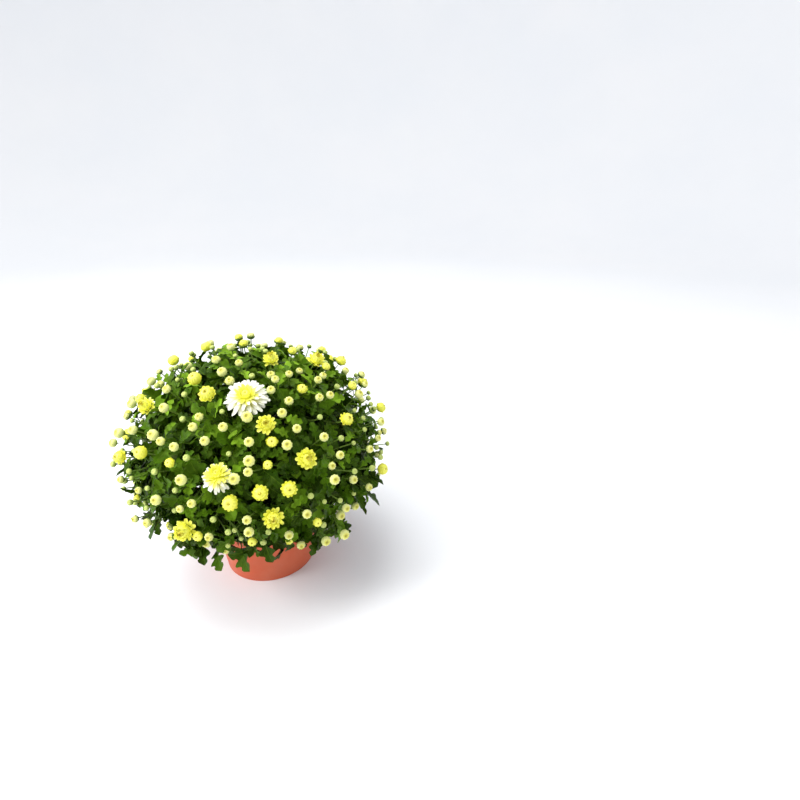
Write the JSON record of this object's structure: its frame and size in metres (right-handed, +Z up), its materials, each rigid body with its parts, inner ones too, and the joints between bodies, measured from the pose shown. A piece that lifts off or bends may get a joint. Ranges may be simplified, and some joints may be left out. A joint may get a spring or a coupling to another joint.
{
  "type": "potted chrysanthemum",
  "caption": "Pot chrysanthemum: a round bush of lobed leaves, cream buds and yellow blooms, some with white rays, filling a tapered plastic pot of soil.",
  "frame": {"origin": "middle of the pot's underside, on the surface that the pot stands on", "axes": "+Z up, along the pot's axis; -Y is the side that faces the picture's camera, a little to its left"},
  "size_m": [0.307, 0.3065, 0.2797],
  "materials": {
    "terracotta_plastic": "satin",
    "peat": "crumbly, matt",
    "foliage": "soft, slightly waxy",
    "stems": "satin",
    "buds_cream": "soft, matt",
    "petals_yellow": "soft, matt",
    "petals_white": "soft, matt"
  },
  "bodies": {
    "root": {"pot": "terracotta_plastic", "soil": "peat", "leafy_stem_01": "foliage", "leafy_stem_02": "foliage", "leafy_stem_03": "foliage", "leafy_stem_04": "foliage", "leafy_stem_05": "foliage", "leafy_stem_06": "foliage", "leafy_stem_07": "foliage", "leafy_stem_08": "foliage", "leafy_stem_09": "foliage", "leafy_stem_10": "foliage", "leafy_stem_11": "foliage", "leafy_stem_12": "foliage", "leafy_stem_13": "foliage", "leafy_stem_14": "foliage", "leafy_stem_15": "foliage", "leafy_stem_16": "foliage", "leafy_stem_17": "foliage", "leafy_stem_18": "foliage", "leafy_stem_19": "foliage", "leafy_stem_20": "foliage", "leafy_stem_21": "foliage", "leafy_stem_22": "foliage", "leafy_stem_23": "foliage", "leafy_stem_24": "foliage", "bloom_back_01": "petals_yellow", "bloom_back_02": "petals_yellow", "bloom_back_03": "petals_yellow", "bloom_back_04": "petals_yellow", "bloom_back_05": "petals_yellow", "bloom_back_06": "petals_yellow", "bloom_back_07": "petals_yellow", "bloom_back_08": "petals_yellow", "bloom_back_09": "petals_yellow", "bloom_back_10": "petals_yellow", "bloom_back_11": "petals_yellow", "bloom_back_12": "petals_yellow", "bloom_bottom_left": "petals_yellow", "bloom_by_daisy": "petals_yellow", "bloom_crown_left": "petals_yellow", "bloom_crown_right": "petals_yellow", "bloom_daisy_middle": "petals_yellow", "bloom_daisy_rays": "petals_white", "bloom_far_left": "petals_yellow", "bloom_frilled": "petals_yellow", "bloom_half_daisy_middle": "petals_yellow", "bloom_half_daisy_rays": "petals_white", "bloom_left_edge": "petals_yellow", "bloom_left_shoulder": "petals_yellow", "bloom_low_left": "petals_yellow", "bloom_low_middle": "petals_yellow", "bloom_low_right": "petals_yellow", "bloom_over_pot": "petals_yellow", "bloom_right_edge": "petals_yellow", "bloom_right_upper": "petals_yellow", "bloom_top_left": "petals_yellow", "bloom_top_middle": "petals_yellow", "bloom_under_upper_left": "petals_yellow", "bloom_upper_left": "petals_yellow"}
  },
  "joints": []
}
